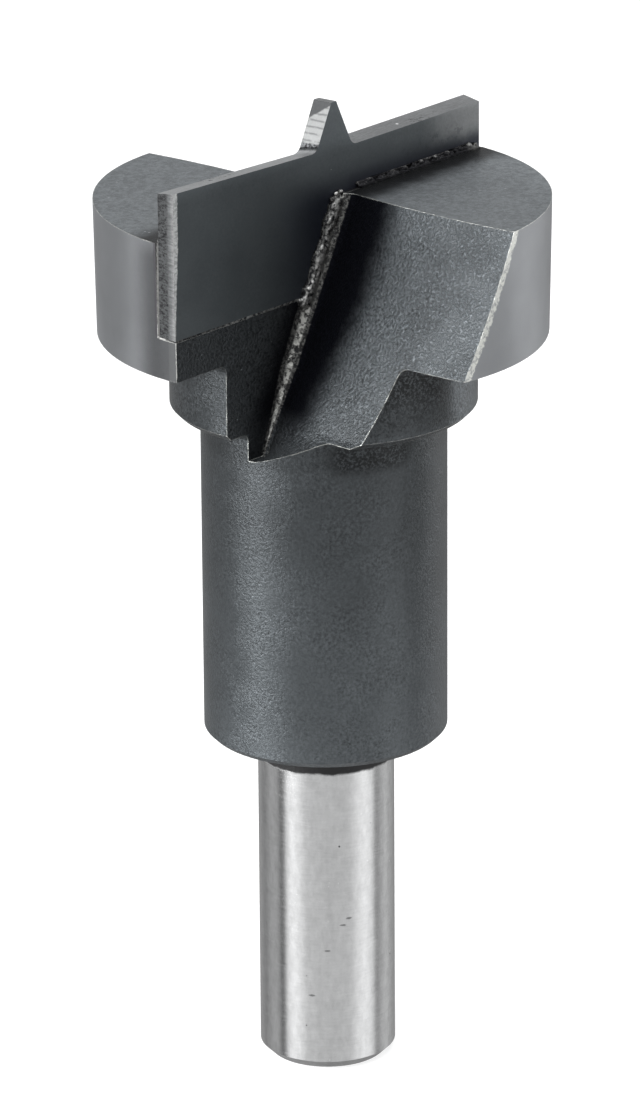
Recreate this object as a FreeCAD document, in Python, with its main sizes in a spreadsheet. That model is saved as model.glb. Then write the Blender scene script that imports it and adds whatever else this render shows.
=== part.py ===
"""Hinge boring bit with a round shank, a stepped body, two wings and a full-width cutting plate.

Axes: +Z points along the tool from the shank's end to the centre point, X runs along the plate and
the front flute opens towards -Y. The origin is the centre of the shank's end face. Millimetres.
"""
import FreeCAD, Part

import math
import os

import Sketcher

SHEET = "sizes"
DRIVING = {
    # Shank, body and collar, turned in one piece with the head.
    "shank_radius": 5.0,
    "shank_length": 25.5,
    "shank_chamfer": 0.7,
    "neck_length": 2.0,
    "neck_step": 0.02,
    "neck_fillet": 0.4,
    "body_radius": 8.9,
    "body_length": 24.9,
    "body_chamfer": 0.4,
    "body_fillet": 0.5,
    "collar_radius": 11.1,
    "collar_length": 5.7,
    "collar_chamfer": 0.4,
    "collar_fillet": 0.6,
    # Head blank, which the two flutes leave as wings just inside the cutting circle.
    "cutting_radius": 16.4,
    "wing_clearance": 0.05,
    "wing_taper": 0.15,
    "wing_height": 9.9,
    # Flutes: one wall along the plate, one inclined wall, a rounded root and a rounded run-out.
    # The depths are measured down from the wing's top.
    "web_half": 0.7,
    "front_corner": 1.5,
    "back_corner": 0.1,
    "flute_slope": 0.5,
    "flute_flare": 0.5,
    "flute_bulge_radius": 70.0,
    "root_radius_top": 1.35,
    "root_radius_mid": 1.1,
    "root_radius_low": 0.5,
    "root_radius_foot": 0.25,
    "root_mid_depth": 11.5,
    "runout_start": 15.25,
    "runout_depth": 2.35,
    # Cutting plate, from its seat in the slot to the centre point. The edges rise outwards.
    "plate_thickness": 1.5,
    "end_relief": 0.05,
    "plate_depth": 6.8,
    "edge_height": 3.5,
    "front_edge_rise": 0.4,
    "back_edge_rise": 0.1,
    "edge_relief": 0.22,
    "point_height": 3.35,
    "point_shift": 0.35,
    "point_tip_lead": 0.18,
    "point_tip_trail": 0.35,
    "point_foot_lead": 1.6,
    "point_foot_trail": 1.85,
    "point_fillet": 0.8,
    # Filler metal between the plate and its slot.
    "seam_side": 0.3,
    "seam_bed": 0.15,
    "seam_inset": 0.2,
    "bead_leg": 0.4,
}
RUNOUT_STEPS = 8
QUARTER_TURN = 90.0
OVERSHOOT = 1.0
CLEAR = 4.0
FRONT_TURN = 0
BACK_TURN = 180


class Size:
    """A length that keeps its number together with the formula on the sheet's cells."""

    def __init__(self, value, text):
        self.value = float(value)
        self.text = text

    def __add__(self, other):
        return Size(self.value + number(other), f"({self.text} + {formula(other)})")

    def __sub__(self, other):
        return Size(self.value - number(other), f"({self.text} - {formula(other)})")

    def __mul__(self, other):
        return Size(self.value * number(other), f"({self.text} * {formula(other)})")

    def __truediv__(self, other):
        return Size(self.value / number(other), f"({self.text} / {formula(other)})")

    def __neg__(self):
        return Size(-self.value, f"(0 - {self.text})")


def number(item):
    """Gives the plain number of a size or of a number."""
    return item.value if isinstance(item, Size) else float(item)


def formula(item):
    """Gives the sheet formula of a size or of a number."""
    return item.text if isinstance(item, Size) else repr(item)


def root_of(item):
    """Gives the square root of a size."""
    return Size(math.sqrt(item.value), f"sqrt({item.text})")


def sine(angle):
    """Gives the sine of an angle whose formula is in degrees."""
    return Size(math.sin(math.radians(angle.value)), f"sin({angle.text})")


def cosine(angle):
    """Gives the cosine of an angle whose formula is in degrees."""
    return Size(math.cos(math.radians(angle.value)), f"cos({angle.text})")


ZERO = Size(0.0, "0")
ONE = Size(1.0, "1")
NO_TURN = Size(0.0, "0 deg")
S = {name: Size(value, f"{SHEET}.{name}") for name, value in DRIVING.items()}


def make_sheet(doc):
    """Writes the driving dimensions to a sheet, one named cell to a row."""
    sheet = doc.addObject("Spreadsheet::Sheet", SHEET)
    for row, (name, value) in enumerate(DRIVING.items(), start=1):
        sheet.set(f"A{row}", name)
        sheet.set(f"B{row}", str(value))
        sheet.setAlias(f"B{row}", name)
    doc.recompute()


def plane_of(body, role):
    """Finds one of a body's own origin planes."""
    return next(item for item in body.Origin.OriginFeatures if item.Role == role)


def new_sketch(body, name, role, offset=ZERO, turn=0, turn_axis=(0, 0, 1)):
    """Makes a sketch on an origin plane, moved along its normal and turned about an axis in it."""
    sketch = body.newObject("Sketcher::SketchObject", name)
    sketch.AttachmentSupport = [(plane_of(body, role), "")]
    sketch.MapMode = "FlatFace"
    turning = FreeCAD.Rotation(FreeCAD.Vector(*turn_axis), turn)
    sketch.AttachmentOffset = FreeCAD.Placement(FreeCAD.Vector(0, 0, offset.value), turning)
    if offset is not ZERO:
        sketch.setExpression(".AttachmentOffset.Base.z", offset.text)
    return sketch


def bind(item, path, size):
    """Binds one property of an object to a formula on the sheet."""
    item.setExpression(path, size.text)


def arc_between(start, end, radius, side):
    """Gives the short arc from start to end, its centre left (1) or right (-1) of the way there."""
    chord = end - start
    middle = (start + end) * 0.5
    left = FreeCAD.Vector(-chord.y, chord.x, 0).normalize()
    reach = math.sqrt(max(radius * radius - chord.Length ** 2 / 4, 0.0))
    centre = middle + left * (side * reach)
    first, last = (start, end) if side > 0 else (end, start)
    angles = [math.atan2(point.y - centre.y, point.x - centre.x) for point in (first, last)]
    circle = Part.Circle(centre, FreeCAD.Vector(0, 0, 1), radius)
    return Part.ArcOfCircle(circle, angles[0], angles[1])


def fix_point(sketch, edge, end, corner):
    """Holds one end of an edge at the corner's two formulas."""
    for size, kind, axis in ((corner[0], "DistanceX", -2), (corner[1], "DistanceY", -1)):
        if size is ZERO:
            sketch.addConstraint(Sketcher.Constraint("PointOnObject", edge, end, axis))
            continue
        place = sketch.addConstraint(Sketcher.Constraint(kind, -1, 1, edge, end, size.value))
        bind(sketch, f"Constraints[{place}]", size)


def draw_outline(sketch, corners, arcs=None):
    """Draws a closed outline through the corners; arcs maps an edge's number to (radius, side)."""
    arcs = arcs or {}
    points = [FreeCAD.Vector(x.value, y.value, 0) for x, y in corners]
    ends = []
    for place, start in enumerate(points):
        end = points[(place + 1) % len(points)]
        if place in arcs:
            radius, side = arcs[place]
            edge = sketch.addGeometry(arc_between(start, end, radius.value, side), False)
            ends.append((1, 2) if side > 0 else (2, 1))
            limit = sketch.addConstraint(Sketcher.Constraint("Radius", edge, radius.value))
            bind(sketch, f"Constraints[{limit}]", radius)
        else:
            edge = sketch.addGeometry(Part.LineSegment(start, end), False)
            ends.append((1, 2))
    for place, corner in enumerate(corners):
        before = (place - 1) % len(corners)
        joint = Sketcher.Constraint("Coincident", before, ends[before][1], place, ends[place][0])
        sketch.addConstraint(joint)
        fix_point(sketch, place, ends[place][0], corner)
    return sketch


# Radii and heights that several pieces share.
WING_RADIUS = S["cutting_radius"] - S["wing_clearance"]
WING_FOOT_RADIUS = WING_RADIUS - S["wing_taper"]
SEAM_REACH = WING_FOOT_RADIUS - S["seam_inset"]
BODY_FOOT = S["shank_length"]
COLLAR_FOOT = BODY_FOOT + S["body_length"]
WING_FOOT = COLLAR_FOOT + S["collar_length"]
WING_TOP = WING_FOOT + S["wing_height"]
PLATE_FOOT = WING_TOP - S["plate_depth"]
EDGE_INNER = WING_TOP + S["edge_height"]
POINT_TOP = EDGE_INNER + S["point_height"]
HALF_PLATE = S["plate_thickness"] / 2
SLOT_HALF = HALF_PLATE + S["seam_side"]
SLOT_FLOOR = PLATE_FOOT - S["seam_bed"]


def turned_outline(sketch):
    """Half of the turned blank: shank, dark neck, body, collar and head, each with its edge."""
    neck_radius = S["shank_radius"] + S["neck_step"]
    neck_foot = BODY_FOOT - S["neck_length"]
    corners = [
        (ZERO, ZERO),
        (S["shank_radius"] - S["shank_chamfer"], ZERO),
        (S["shank_radius"], S["shank_chamfer"]),
        (S["shank_radius"], neck_foot),
        (neck_radius, neck_foot),
        (neck_radius, BODY_FOOT - S["neck_fillet"]),
        (neck_radius + S["neck_fillet"], BODY_FOOT),
        (S["body_radius"] - S["body_chamfer"], BODY_FOOT),
        (S["body_radius"], BODY_FOOT + S["body_chamfer"]),
        (S["body_radius"], COLLAR_FOOT - S["body_fillet"]),
        (S["body_radius"] + S["body_fillet"], COLLAR_FOOT),
        (S["collar_radius"] - S["collar_chamfer"], COLLAR_FOOT),
        (S["collar_radius"], COLLAR_FOOT + S["collar_chamfer"]),
        (S["collar_radius"], WING_FOOT - S["collar_fillet"]),
        (S["collar_radius"] + S["collar_fillet"], WING_FOOT),
        (WING_FOOT_RADIUS, WING_FOOT),
        (WING_RADIUS, WING_TOP),
        (ZERO, WING_TOP),
    ]
    arcs = {5: (S["neck_fillet"], -1), 9: (S["body_fillet"], -1), 13: (S["collar_fillet"], -1)}
    return draw_outline(sketch, corners, arcs)


def flute_levels():
    """The flute's levels from the top down: depth, root radius and how far the wall is turned.

    The inner corner runs straight down the inclined wall. In the round run-out the wall turns
    about that corner, until it closes on the wall along the plate.
    """
    levels = [
        (ZERO - OVERSHOOT, S["root_radius_top"], NO_TURN),
        (S["root_mid_depth"], S["root_radius_mid"], NO_TURN),
    ]
    quarter = Size(QUARTER_TURN, f"{QUARTER_TURN} deg")
    for step in range(RUNOUT_STEPS + 1):
        share = step / RUNOUT_STEPS
        depth = S["runout_start"] + S["runout_depth"] * sine(quarter * share)
        root = S["root_radius_low"] * (1 - share) + S["root_radius_foot"] * share
        levels.append((depth, root, quarter * (ONE - cosine(quarter * share))))
    return levels


def flute_section(body, name, corner_x, height, root, wall_turn, turn):
    """One level section of a flute: plate wall, rounded root, inclined wall and open outside."""
    sketch = new_sketch(body, name, "XY_Plane", height, turn)
    wall_y = -S["web_half"]
    across, down = cosine(wall_turn), sine(wall_turn)
    outer_x = corner_x + S["flute_flare"] * across - WING_RADIUS * down
    outer_y = wall_y - S["flute_flare"] * down - WING_RADIUS * across
    outside = -(WING_RADIUS * 2)
    corners = [
        (outside, wall_y),
        (outside, outer_y - across * CLEAR),
        (outer_x - down * CLEAR, outer_y - across * CLEAR),
        (outer_x, outer_y),
        (corner_x, wall_y - root),
        (corner_x - root, wall_y),
    ]
    return draw_outline(sketch, corners, {3: (S["flute_bulge_radius"], -1), 4: (root, 1)})


def cut_flute(body, name, corner, turn):
    """Cuts one flute through the head, the collar and the top of the body."""
    sections = []
    for place, (depth, root, wall_turn) in enumerate(flute_levels()):
        corner_x = corner - S["flute_slope"] * depth
        height = WING_TOP - depth
        label = f"{name}Level{place}"
        sections.append(flute_section(body, label, corner_x, height, root, wall_turn, turn))
    flute = body.newObject("PartDesign::SubtractiveLoft", name)
    flute.Profile = sections[0]
    flute.Sections = sections[1:]
    flute.Ruled = True
    return flute


def make_tool_body(doc):
    """The steel tool body: turned, fluted twice and slotted for the plate."""
    body = doc.addObject("PartDesign::Body", "tool_body")
    body.Label = "tool_body"
    outline = turned_outline(new_sketch(body, "TurnedOutline", "XZ_Plane"))
    turned = body.newObject("PartDesign::Revolution", "Turned")
    turned.Profile = outline
    turned.ReferenceAxis = (outline, ["V_Axis"])
    turned.Angle = 360
    doc.recompute()
    volumes = [turned.Shape.Volume]
    cuts = (("FrontFlute", S["front_corner"], FRONT_TURN), ("BackFlute", S["back_corner"], BACK_TURN))
    for name, corner, turn in cuts:
        flute = cut_flute(body, name, corner, turn)
        doc.recompute()
        volumes.append(flute.Shape.Volume)
    slot_sketch = new_sketch(body, "SlotOutline", "XY_Plane", SLOT_FLOOR)
    reach = WING_RADIUS + CLEAR
    draw_outline(slot_sketch, [
        (-reach, -SLOT_HALF),
        (reach, -SLOT_HALF),
        (reach, SLOT_HALF),
        (-reach, SLOT_HALF),
    ])
    slot = body.newObject("PartDesign::Pocket", "PlateSlot")
    slot.Profile = slot_sketch
    slot.Reversed = True
    bind(slot, "Length", S["plate_depth"] + S["seam_bed"] + CLEAR)
    body.Tip = slot
    doc.recompute()
    volumes.append(slot.Shape.Volume)
    check_cuts(volumes)
    return body


def check_cuts(volumes):
    """Stops the build where a cut took nothing away."""
    for before, after in zip(volumes, volumes[1:]):
        if not after < before - 1.0:
            raise RuntimeError(f"a cut took nothing away: {volumes}")


def plate_outline(body, name, lead_side):
    """The plate's outline on one of its faces.

    The face on the side of a cutting edge carries the edge's full length and height, and the
    other side of the same half lies lower and shorter by the relief. lead_side is -1 where the
    half at -X cuts on this face and 1 where the half at +X does.
    """
    offset = HALF_PLATE if lead_side < 0 else -HALF_PLATE
    sketch = new_sketch(body, name, "XZ_Plane", offset)
    halves = {}
    for side in (-1, 1):
        leads = side == lead_side
        rise = S["front_edge_rise"] if side < 0 else S["back_edge_rise"]
        radius = S["cutting_radius"] if leads else S["cutting_radius"] - S["end_relief"]
        drop = ZERO if leads else S["edge_relief"]
        end_x = root_of(radius * radius - HALF_PLATE * HALF_PLATE)
        foot_x = S["point_foot_lead"] if leads else S["point_foot_trail"]
        tip_x = S["point_tip_lead"] if leads else S["point_tip_trail"]
        inner = EDGE_INNER - drop
        halves[side] = [
            (end_x * side, PLATE_FOOT),
            (end_x * side, inner + rise),
            (S["point_shift"] + (foot_x + S["point_fillet"]) * side, inner),
            (S["point_shift"] + foot_x * side, inner + S["point_fillet"] / 2),
            (S["point_shift"] + tip_x * side, POINT_TOP),
        ]
    corners = halves[-1] + halves[1][::-1]
    fillet = S["point_fillet"]
    return draw_outline(sketch, corners, {2: (fillet, 1), 6: (fillet, 1)})


def make_cutting_plate(doc):
    """The hard-metal plate with both cutting edges and the centre point, ground in one piece."""
    body = doc.addObject("PartDesign::Body", "cutting_plate")
    body.Label = "cutting_plate"
    front = plate_outline(body, "FrontFace", -1)
    back = plate_outline(body, "BackFace", 1)
    plate = body.newObject("PartDesign::AdditiveLoft", "GroundPlate")
    plate.Profile = front
    plate.Sections = [back]
    plate.Ruled = True
    body.Tip = plate
    doc.recompute()
    return body


def seam_side_sheet(body, name, corner, turn):
    """Filler between the plate's unexposed face and the slot, up to the wing's flute."""
    offset = HALF_PLATE if turn == FRONT_TURN else -HALF_PLATE
    sketch = new_sketch(body, f"{name}Outline", "XZ_Plane", offset, turn, (0, 1, 0))
    inner_top = corner - S["root_radius_top"] / 4
    draw_outline(sketch, [
        (inner_top - S["flute_slope"] * S["plate_depth"], SLOT_FLOOR),
        (SEAM_REACH, SLOT_FLOOR),
        (SEAM_REACH, WING_TOP),
        (inner_top, WING_TOP),
    ])
    sheet = body.newObject("PartDesign::Pad", name)
    sheet.Profile = sketch
    bind(sheet, "Length", S["seam_side"])
    return sheet


def seam_bead(body, name, corner, turn):
    """The raised bead of filler in the corner between the wing's top and the plate."""
    inner = corner + S["root_radius_top"]
    sketch = new_sketch(body, f"{name}Outline", "YZ_Plane", inner if turn == FRONT_TURN else -inner,
                        turn, (0, 1, 0))
    draw_outline(sketch, [
        (-HALF_PLATE, WING_TOP),
        (-HALF_PLATE, WING_TOP + S["bead_leg"]),
        (-(SLOT_HALF + S["bead_leg"]), WING_TOP),
    ])
    bead = body.newObject("PartDesign::Pad", name)
    bead.Profile = sketch
    bind(bead, "Length", SEAM_REACH - inner)
    return bead


def make_braze_seam(doc):
    """The filler metal: a thin bed under the plate, a sheet behind each half and two beads."""
    body = doc.addObject("PartDesign::Body", "braze_seam")
    body.Label = "braze_seam"
    bed_sketch = new_sketch(body, "BedOutline", "XY_Plane", SLOT_FLOOR)
    draw_outline(bed_sketch, [
        (-SEAM_REACH, -HALF_PLATE),
        (SEAM_REACH, -HALF_PLATE),
        (SEAM_REACH, HALF_PLATE),
        (-SEAM_REACH, HALF_PLATE),
    ])
    bed = body.newObject("PartDesign::Pad", "Bed")
    bed.Profile = bed_sketch
    bind(bed, "Length", S["seam_bed"])
    doc.recompute()
    for name, corner, turn in (("Front", S["front_corner"], FRONT_TURN),
                               ("Back", S["back_corner"], BACK_TURN)):
        seam_side_sheet(body, f"{name}Sheet", corner, turn)
        doc.recompute()
        body.Tip = seam_bead(body, f"{name}Bead", corner, turn)
        doc.recompute()
    return body


def check_document(doc, bodies):
    """Stops the build where an object failed or a sub-part has no sound solid."""
    for item in doc.Objects:
        if "Invalid" in item.State or "Error" in item.State:
            raise RuntimeError(f"{item.Name} failed: {item.State}")
    for body in bodies:
        shape = body.Shape
        if shape.isNull() or not shape.isValid() or len(shape.Solids) != 1:
            raise RuntimeError(f"{body.Label} has no single sound solid")
        box = shape.BoundBox
        print(f"{body.Label}: volume {shape.Volume:.1f}, Z {box.ZMin:.2f} to {box.ZMax:.2f}, "
              f"X {box.XMin:.2f} to {box.XMax:.2f}, Y {box.YMin:.2f} to {box.YMax:.2f}")


def main():
    """Builds the document and writes each sub-part to its own file."""
    doc = FreeCAD.newDocument("hinge_boring_bit")
    make_sheet(doc)
    bodies = [make_tool_body(doc), make_cutting_plate(doc), make_braze_seam(doc)]
    doc.recompute()
    check_document(doc, bodies)
    os.makedirs("parts", exist_ok=True)
    for body in bodies:
        body.Shape.exportStep(f"parts/{body.Label}.step")


main()
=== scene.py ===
"""Looks of the hinge boring bit: finishes, filler beads, studio and camera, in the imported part's frame.

Lengths of the object are in millimetres in the classes below and become metres where a mesh is made.
"""
import logging
import math
import random
from dataclasses import dataclass, field
from enum import Enum
from typing import Any

import bpy
from mathutils import Matrix, Vector


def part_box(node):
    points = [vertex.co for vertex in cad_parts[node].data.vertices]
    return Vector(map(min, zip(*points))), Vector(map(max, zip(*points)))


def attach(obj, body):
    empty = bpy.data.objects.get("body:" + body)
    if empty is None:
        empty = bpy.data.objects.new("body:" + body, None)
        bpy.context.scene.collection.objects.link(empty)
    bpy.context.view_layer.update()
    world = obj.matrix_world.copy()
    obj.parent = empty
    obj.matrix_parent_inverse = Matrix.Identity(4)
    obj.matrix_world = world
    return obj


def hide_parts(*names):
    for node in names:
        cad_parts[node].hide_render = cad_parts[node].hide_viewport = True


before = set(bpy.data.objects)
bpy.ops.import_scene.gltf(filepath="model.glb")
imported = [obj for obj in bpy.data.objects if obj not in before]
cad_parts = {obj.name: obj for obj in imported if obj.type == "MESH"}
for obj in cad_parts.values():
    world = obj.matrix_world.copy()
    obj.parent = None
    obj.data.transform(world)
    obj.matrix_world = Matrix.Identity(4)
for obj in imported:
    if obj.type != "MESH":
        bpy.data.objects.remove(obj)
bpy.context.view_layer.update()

MM = 0.001
IMAGE_SIZE = (640, 1113)
# How much faster the root's share grows where a point lies on the inclined wall.
LEAN = 0.68
log = logging.getLogger("boring_bit")

Socket = bpy.types.NodeSocket
Value = Any


class Half(Enum):
    """The two halves of the tool, each named for the side that its flute opens to."""

    FRONT = 1
    BACK = -1


@dataclass(frozen=True)
class BitSizes:
    """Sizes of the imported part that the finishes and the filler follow, in millimetres."""

    plate_half: float
    plate_foot: float
    point_top: float
    cutting_radius: float
    wing_top: float
    body_foot: float = 25.5
    neck_length: float = 2.0
    body_radius: float = 8.9
    collar_foot: float = 50.4
    collar_radius: float = 11.1
    wing_foot: float = 56.1
    web_half: float = 0.7
    slot_half: float = 1.05
    edge_height: float = 3.5
    flute_slope: float = 0.5
    flute_flare: float = 0.46
    front_corner: float = 1.5
    back_corner: float = 0.1
    root_top: float = 1.35
    root_mid: float = 1.1
    root_low: float = 0.5
    root_foot: float = 0.25
    root_mid_height: float = 54.5
    runout_start: float = 50.75
    runout_foot: float = 48.4
    point_shift: float = 0.35

    @classmethod
    def from_frame(cls) -> "BitSizes":
        """Reads what the frame holds: the boxes of the plate and the body.

        Returns:
            The sizes in millimetres.
        """
        plate_low, plate_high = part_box("cutting_plate")
        tool_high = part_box("tool_body")[1]
        return cls(
            plate_half=plate_high.y / MM,
            plate_foot=plate_low.z / MM,
            point_top=plate_high.z / MM,
            cutting_radius=plate_high.x / MM,
            wing_top=tool_high.z / MM,
        )

    def corner(self, half: Half) -> float:
        """Gives where a flute's inclined wall meets the wing's top, along the plate."""
        return self.front_corner if half is Half.FRONT else self.back_corner


class Graph:
    """Adds and joins the nodes of one material, world or group."""

    def __init__(self, tree: bpy.types.NodeTree) -> None:
        """Keeps the tree that the nodes go into.

        Args:
            tree: The node tree to fill.
        """
        self.tree = tree

    def add(self, kind: str, **options: Any) -> bpy.types.Node:
        """Adds a node and sets its options.

        Args:
            kind: The node's type name.
            **options: Attributes of the node.

        Returns:
            The new node.
        """
        node = self.tree.nodes.new(kind)
        for name, value in options.items():
            setattr(node, name, value)
        return node

    def feed(self, socket: Socket, value: Value) -> None:
        """Joins a socket to another one, or sets its plain value.

        Args:
            socket: The socket to fill.
            value: Another socket or a plain value.
        """
        if isinstance(value, Socket):
            self.tree.links.new(value, socket)
        else:
            socket.default_value = value

    def math(self, operation: str, *values: Value, clamp: bool = False) -> Socket:
        """Adds one step of arithmetic.

        Args:
            operation: The Math node's operation.
            *values: Its inputs.
            clamp: Whether the result is kept between 0 and 1.

        Returns:
            The result's socket.
        """
        node = self.add("ShaderNodeMath", operation=operation, use_clamp=clamp)
        for socket, value in zip(node.inputs, values):
            self.feed(socket, value)
        return node.outputs[0]

    def times(self, *values: Value) -> Socket:
        """Multiplies several values or masks.

        Args:
            *values: The values, from left to right.

        Returns:
            The product's socket.
        """
        product = values[0]
        for value in values[1:]:
            product = self.math("MULTIPLY", product, value)
        return product

    def plus(self, first: Value, second: Value) -> Socket:
        """Adds two values."""
        return self.math("ADD", first, second)

    def minus(self, first: Value, second: Value) -> Socket:
        """Takes the second value from the first."""
        return self.math("SUBTRACT", first, second)

    def scale_add(self, value: Value, factor: Value, extra: Value) -> Socket:
        """Multiplies a value by a factor and adds an extra."""
        return self.math("MULTIPLY_ADD", value, factor, extra)

    def size(self, value: Value) -> Socket:
        """Gives a value without its sign."""
        return self.math("ABSOLUTE", value)

    def above(self, value: Value, limit: Value) -> Socket:
        """Gives 1 where the value is above the limit and 0 elsewhere."""
        return self.math("GREATER_THAN", value, limit)

    def below(self, value: Value, limit: Value) -> Socket:
        """Gives 1 where the value is below the limit and 0 elsewhere."""
        return self.math("LESS_THAN", value, limit)

    def flip(self, value: Value) -> Socket:
        """Turns a mask inside out."""
        return self.math("SUBTRACT", 1.0, value, clamp=True)

    def band(self, value: Value, low: Value, high: Value,
             to_low: float = 0.0, to_high: float = 1.0) -> Socket:
        """Maps a value smoothly from one range to another.

        Args:
            value: The value to map.
            low: Where the result is to_low.
            high: Where the result is to_high.
            to_low: The result at the low end.
            to_high: The result at the high end.

        Returns:
            The mapped value's socket.
        """
        node = self.add("ShaderNodeMapRange", interpolation_type="SMOOTHSTEP")
        for socket, item in zip(node.inputs, (value, low, high, to_low, to_high)):
            self.feed(socket, item)
        return node.outputs[0]

    def ramp(self, value: Value, low: float, high: float, to_low: float, to_high: float) -> Socket:
        """Maps a value in a straight line from one range to another and keeps it in that range.

        Args:
            value: The value to map.
            low: Where the result is to_low.
            high: Where the result is to_high.
            to_low: The result at the low end.
            to_high: The result at the high end.

        Returns:
            The mapped value's socket.
        """
        node = self.add("ShaderNodeMapRange", clamp=True)
        for socket, item in zip(node.inputs, (value, low, high, to_low, to_high)):
            self.feed(socket, item)
        return node.outputs[0]

    def window(self, value: Value, low: float, high: float, soft: float) -> Socket:
        """Gives 1 between two limits and 0 outside them, with soft ends.

        Args:
            value: The value to test.
            low: The lower limit.
            high: The upper limit.
            soft: Half the width of each soft end.

        Returns:
            The mask's socket.
        """
        rise = self.band(value, low - soft, low + soft)
        return self.math("MULTIPLY", rise, self.band(value, high - soft, high + soft, 1.0, 0.0))

    def mix(self, factor: Value, first: Value, second: Value) -> Socket:
        """Mixes two colours by how much of the second one shows.

        Args:
            factor: The second colour's share.
            first: The first colour.
            second: The second colour.

        Returns:
            The mixed colour's socket.
        """
        node = self.add("ShaderNodeMix", data_type="RGBA")
        for place, value in ((0, factor), (6, first), (7, second)):
            self.feed(node.inputs[place], value)
        return node.outputs[2]

    def blend(self, factor: Value, first: Value, second: Value) -> Socket:
        """Mixes two plain values by how much of the second one counts.

        Args:
            factor: The second value's share.
            first: The first value.
            second: The second value.

        Returns:
            The mixed value's socket.
        """
        node = self.add("ShaderNodeMix", data_type="FLOAT")
        for place, value in ((0, factor), (2, first), (3, second)):
            self.feed(node.inputs[place], value)
        return node.outputs[0]

    def scaled(self, vector: Value, factor: Value) -> Socket:
        """Multiplies a vector or colour by one value.

        Args:
            vector: The vector or colour.
            factor: The value.

        Returns:
            The result's socket.
        """
        node = self.add("ShaderNodeVectorMath", operation="SCALE")
        self.feed(node.inputs[0], vector[:3] if isinstance(vector, tuple) else vector)
        self.feed(node.inputs["Scale"], factor)
        return node.outputs[0]

    def stretch(self, vector: Value, scale: tuple) -> Socket:
        """Scales a place along each axis.

        Args:
            vector: The place.
            scale: One factor for each axis.

        Returns:
            The scaled place's socket.
        """
        node = self.add("ShaderNodeVectorMath", operation="MULTIPLY")
        self.feed(node.inputs[0], vector)
        self.feed(node.inputs[1], scale)
        return node.outputs[0]

    def parts(self, vector: Value) -> list[Socket]:
        """Splits a vector into its three values.

        Args:
            vector: The vector.

        Returns:
            The sockets of X, Y and Z.
        """
        node = self.add("ShaderNodeSeparateXYZ")
        self.feed(node.inputs[0], vector)
        return list(node.outputs)

    def noise(self, vector: Value, scale: Value, detail: float = 2.0, roughness: float = 0.5) -> Socket:
        """Adds a noise pattern between about 0.25 and 0.75.

        Args:
            vector: The place that the pattern reads.
            scale: Cells for each unit of length.
            detail: Octaves of finer noise.
            roughness: The finer octaves' strength.

        Returns:
            The noise's value socket.
        """
        node = self.add("ShaderNodeTexNoise")
        self.feed(node.inputs["Vector"], vector)
        for name, value in (("Scale", scale), ("Detail", detail), ("Roughness", roughness)):
            self.feed(node.inputs[name], value)
        return node.outputs["Fac"]

    def jitter(self, vector: Value, scale: float, size: float) -> Socket:
        """Gives a noise around 0 that makes a limit ragged by up to about the size."""
        centred = self.math("SUBTRACT", self.noise(vector, scale, 3.0, 0.6), 0.5)
        return self.math("MULTIPLY", centred, 2.0 * size)

    def group(self, tree: bpy.types.NodeTree, **inputs: Value) -> Any:
        """Places a node group.

        Args:
            tree: The group.
            **inputs: Its inputs, by name.

        Returns:
            The group's outputs.
        """
        node = self.add("ShaderNodeGroup", node_tree=tree)
        for name, value in inputs.items():
            self.feed(node.inputs[name], value)
        return node.outputs


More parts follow.
